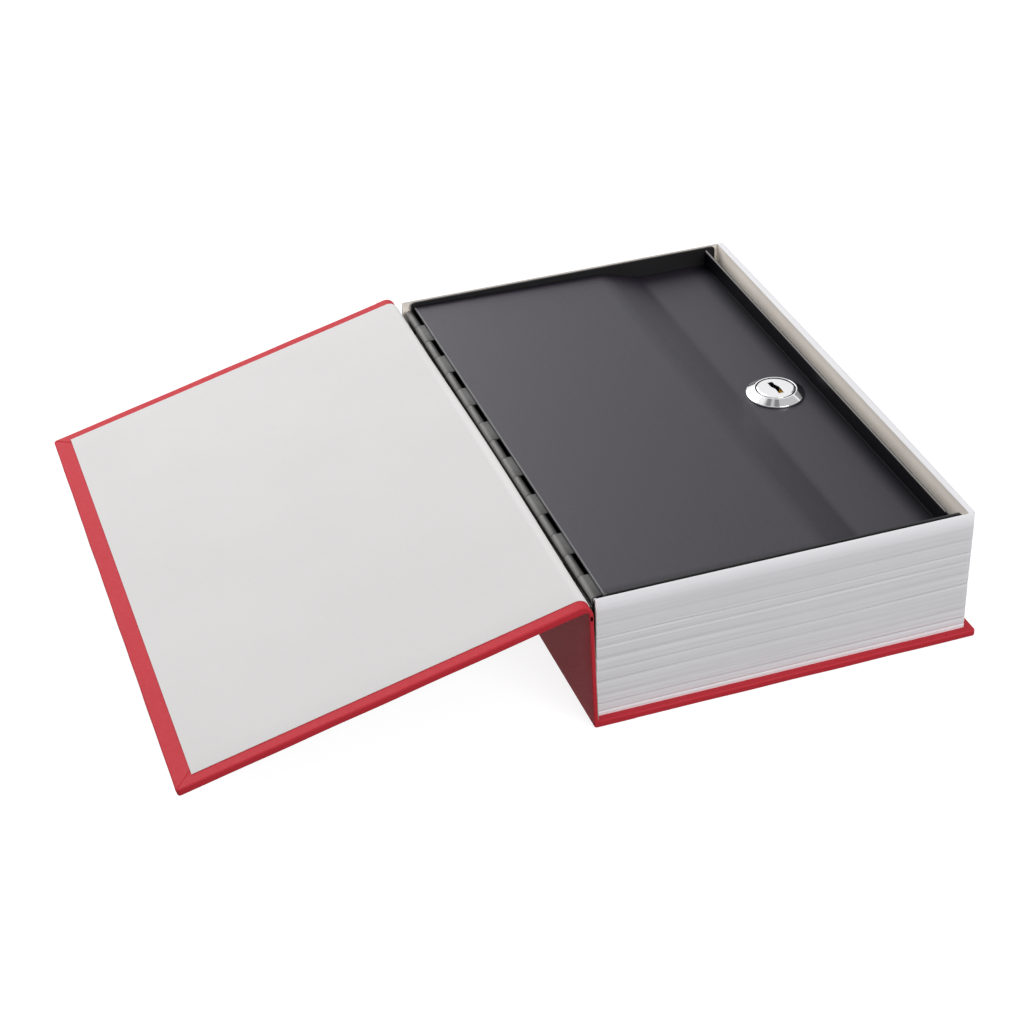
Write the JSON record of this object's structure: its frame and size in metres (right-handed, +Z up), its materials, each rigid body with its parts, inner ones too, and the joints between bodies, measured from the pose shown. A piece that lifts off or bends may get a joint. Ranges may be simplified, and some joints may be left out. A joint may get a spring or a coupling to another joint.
{
  "type": "book diversion safe",
  "caption": "Hardcover book that hides a steel cash box: the cover opens on white moulded pages round a box with a piano-hinged lid and a wafer cam lock.",
  "frame": {"origin": "centre of the back cover's underside, the face that the book lies on", "axes": "+X from the spine to the fore-edge, +Y along the spine, +Z up out of the lid; the front cover stands open towards -X"},
  "size_m": [0.3097, 0.2416, 0.0559],
  "materials": {
    "greyboard": "raw grey bookbinder's board",
    "red_covering": "matte red book covering with a fine grain",
    "endpaper": "smooth light grey paper",
    "page_plastic": "white moulding, layered like pages",
    "box_steel": "black powder coat",
    "lid_steel": "black powder coat, fine texture",
    "hinge_steel": "black powder coat, worn smooth on the knuckles",
    "plain_steel": "zinc plated",
    "lock_chrome": "polished chrome",
    "wafer_brass": "stamped brass"
  },
  "bodies": {
    "case": {"back_board": "greyboard", "spine_board": "greyboard", "case_covering": "red_covering", "page_block": "page_plastic", "box_tray": "box_steel", "rest_tab_near": "box_steel", "rest_tab_far": "box_steel", "box_hinge_leaf": "hinge_steel", "hinge_pin": "plain_steel"},
    "cover": {"front_board": "greyboard", "front_covering": "red_covering", "front_endpaper": "endpaper", "front_joint": "red_covering"},
    "lid": {"lid_panel": "lid_steel", "lid_hinge_leaf": "hinge_steel", "lock_housing": "lock_chrome", "lock_washer": "plain_steel", "lock_nut": "plain_steel"},
    "plug": {"lock_plug": "lock_chrome", "cam": "plain_steel", "cam_screw": "plain_steel"},
    "wafer_1": {"wafer_1": "wafer_brass"},
    "wafer_2": {"wafer_2": "wafer_brass"},
    "wafer_3": {"wafer_3": "wafer_brass"},
    "wafer_4": {"wafer_4": "wafer_brass"},
    "wafer_5": {"wafer_5": "wafer_brass"}
  },
  "joints": [
    {"name": "cover_hinge", "type": "hinge", "parent": "case", "child": "cover", "pos_m": [-0.07925, 0, 0.05616], "axis": [0, 1, 0], "range_deg": [-5.5, 194.2]},
    {"name": "lid_hinge", "type": "hinge", "parent": "case", "child": "lid", "pos_m": [-0.074, 0, 0.05035], "axis": [0, 1, 0], "range_deg": [-97, 0]},
    {"name": "plug_turn", "type": "hinge", "parent": "lid", "child": "plug", "pos_m": [0.0478, 0.0004, 0.0495], "axis": [0, 0, 1], "range_deg": [0, 90]},
    {"name": "wafer_1_slide", "type": "slide", "parent": "plug", "child": "wafer_1", "axis": [0, 1, 0], "range_m": [-0.0008, 0]},
    {"name": "wafer_2_slide", "type": "slide", "parent": "plug", "child": "wafer_2", "axis": [0, 1, 0], "range_m": [-0.0008, 0]},
    {"name": "wafer_3_slide", "type": "slide", "parent": "plug", "child": "wafer_3", "axis": [0, 1, 0], "range_m": [-0.0008, 0]},
    {"name": "wafer_4_slide", "type": "slide", "parent": "plug", "child": "wafer_4", "axis": [0, 1, 0], "range_m": [-0.0008, 0]},
    {"name": "wafer_5_slide", "type": "slide", "parent": "plug", "child": "wafer_5", "axis": [0, 1, 0], "range_m": [-0.0008, 0]}
  ]
}
